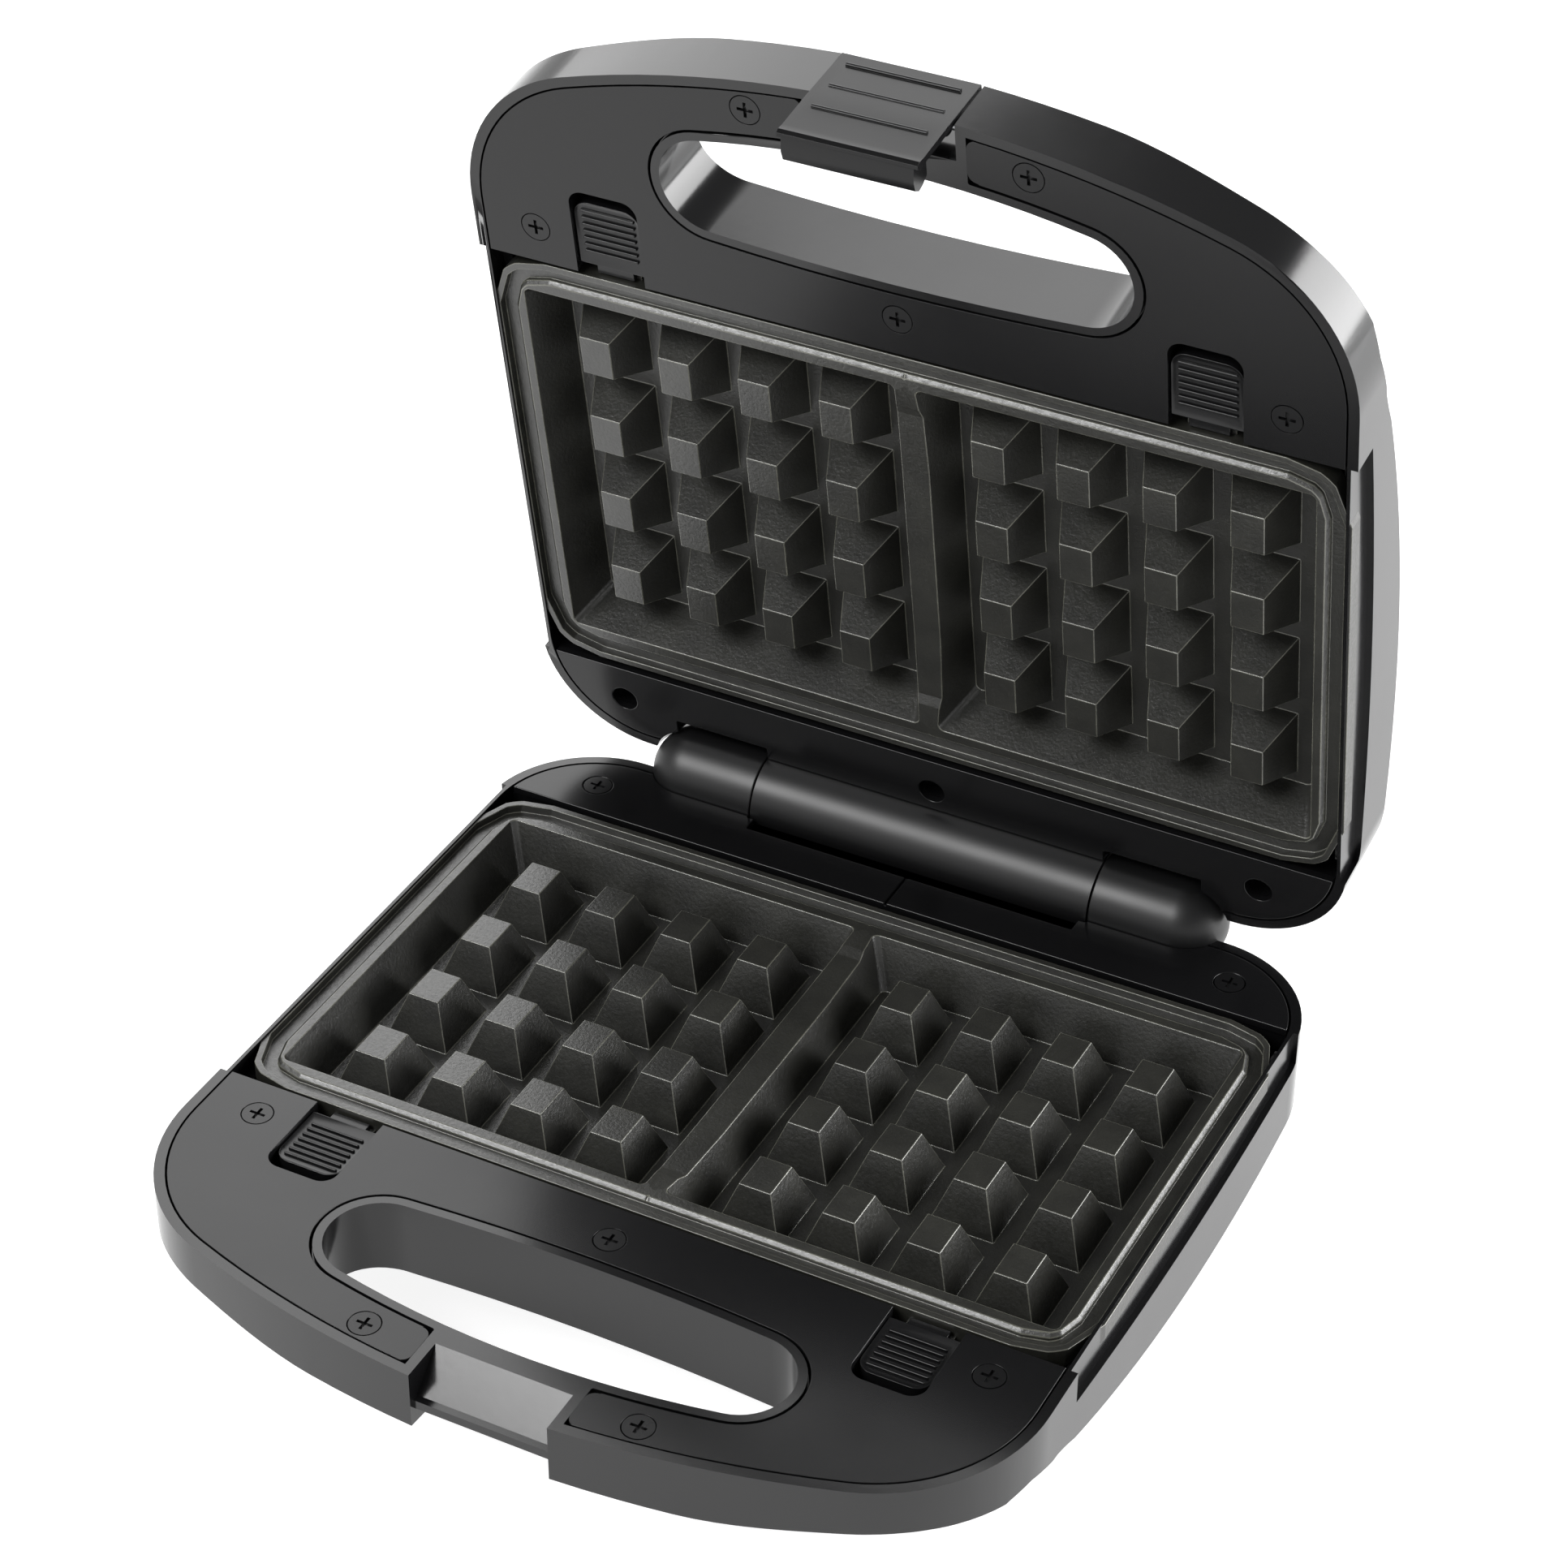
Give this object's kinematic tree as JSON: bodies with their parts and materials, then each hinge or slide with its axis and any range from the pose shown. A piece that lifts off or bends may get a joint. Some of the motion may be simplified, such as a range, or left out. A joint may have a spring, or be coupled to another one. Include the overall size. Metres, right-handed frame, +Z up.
{
  "type": "waffle maker",
  "caption": "Two-slice electric waffle maker standing open: hinged casing halves with lift-out studded plates, handle openings and a latch.",
  "frame": {"origin": "centre of the footprint of the whole open appliance, on the surface that its feet stand on", "axes": "+Z up, +X along the hinge to the user's right, -Y towards the user (the base's handle)"},
  "size_m": [0.2246, 0.2633, 0.2733],
  "materials": {
    "casing": "gloss black ABS",
    "cover": "satin-gloss black phenolic",
    "plate": "dark non-stick coating on cast aluminium",
    "reflector_steel": "bright aluminised sheet",
    "heater_steel": "dull stainless sheath",
    "spring_steel": "bright zinc-plated steel",
    "cover_screw": "black oxide steel",
    "hinge_plastic": "gloss black ABS",
    "pin_steel": "turned steel",
    "foot_rubber": "matt black rubber",
    "ceramic": "steatite ceramic and plated steel",
    "glass_sleeve": "silicone-coated glass sleeve",
    "terminal_plastic": "natural nylon",
    "bush_rubber": "black PVC",
    "wire_sleeve": "woven glass sleeve",
    "power_lens": "red translucent lens",
    "ready_lens": "green translucent lens",
    "board": "brown phenolic paper board",
    "button": "satin-gloss black ABS",
    "latch": "gloss black ABS"
  },
  "bodies": {
    "base": {"base_shell": "casing", "base_front_cover": "cover", "base_rear_cover": "cover", "base_waffle_plate": "plate", "base_reflector": "reflector_steel", "base_heater": "heater_steel", "base_left_spring": "spring_steel", "base_right_spring": "spring_steel", "base_cover_screws": "cover_screw", "base_reflector_screws": "spring_steel", "left_knuckle": "hinge_plastic", "right_knuckle": "hinge_plastic", "hinge_pins": "pin_steel", "front_left_foot": "foot_rubber", "front_right_foot": "foot_rubber", "rear_left_foot": "foot_rubber", "rear_right_foot": "foot_rubber", "thermostat": "ceramic", "thermal_fuse": "glass_sleeve", "terminal_block": "terminal_plastic", "cord_bush": "bush_rubber", "base_wires": "wire_sleeve"},
    "lid": {"lid_shell": "casing", "lid_front_cover": "cover", "lid_rear_cover": "cover", "lid_waffle_plate": "plate", "lid_reflector": "reflector_steel", "lid_heater": "heater_steel", "lid_left_spring": "spring_steel", "lid_right_spring": "spring_steel", "lid_cover_screws": "cover_screw", "lid_reflector_screws": "spring_steel", "lid_barrel": "hinge_plastic", "latch_pin": "pin_steel", "latch_spring": "spring_steel", "power_lens": "power_lens", "ready_lens": "ready_lens", "lamp_board": "board", "lid_wires": "wire_sleeve"},
    "latch": {"latch": "latch"},
    "base_left_button": {"base_left_release": "button"},
    "base_right_button": {"base_right_release": "button"},
    "lid_left_button": {"lid_left_release": "button"},
    "lid_right_button": {"lid_right_release": "button"}
  },
  "joints": [
    {"name": "lid_hinge", "type": "hinge", "parent": "base", "child": "lid", "pos_m": [0, 0.0973, 0.044], "axis": [1, 0, 0], "range_deg": [-20, 80]},
    {"name": "latch_rock", "type": "hinge", "parent": "lid", "child": "latch", "pos_m": [0, 0.06467, 0.26651], "axis": [-1, 0, 0], "range_deg": [0, 22], "stiffness_Nm_per_rad": 0.08, "springref_deg": -20.05, "deforming": ["latch_spring"]},
    {"name": "base_left_slide", "type": "slide", "parent": "base", "child": "base_left_button", "axis": [0, -1, 0], "range_m": [0, 0.0034], "stiffness_N_per_m": 300, "springref_m": -0.004, "deforming": ["base_left_spring"]},
    {"name": "base_right_slide", "type": "slide", "parent": "base", "child": "base_right_button", "axis": [0, -1, 0], "range_m": [0, 0.0034], "stiffness_N_per_m": 300, "springref_m": -0.004, "deforming": ["base_right_spring"]},
    {"name": "lid_left_slide", "type": "slide", "parent": "lid", "child": "lid_left_button", "axis": [0, -0.1736, 0.9848], "range_m": [0, 0.0034], "stiffness_N_per_m": 300, "springref_m": -0.004, "deforming": ["lid_left_spring"]},
    {"name": "lid_right_slide", "type": "slide", "parent": "lid", "child": "lid_right_button", "axis": [0, -0.1736, 0.9848], "range_m": [0, 0.0034], "stiffness_N_per_m": 300, "springref_m": -0.004, "deforming": ["lid_right_spring"]}
  ]
}
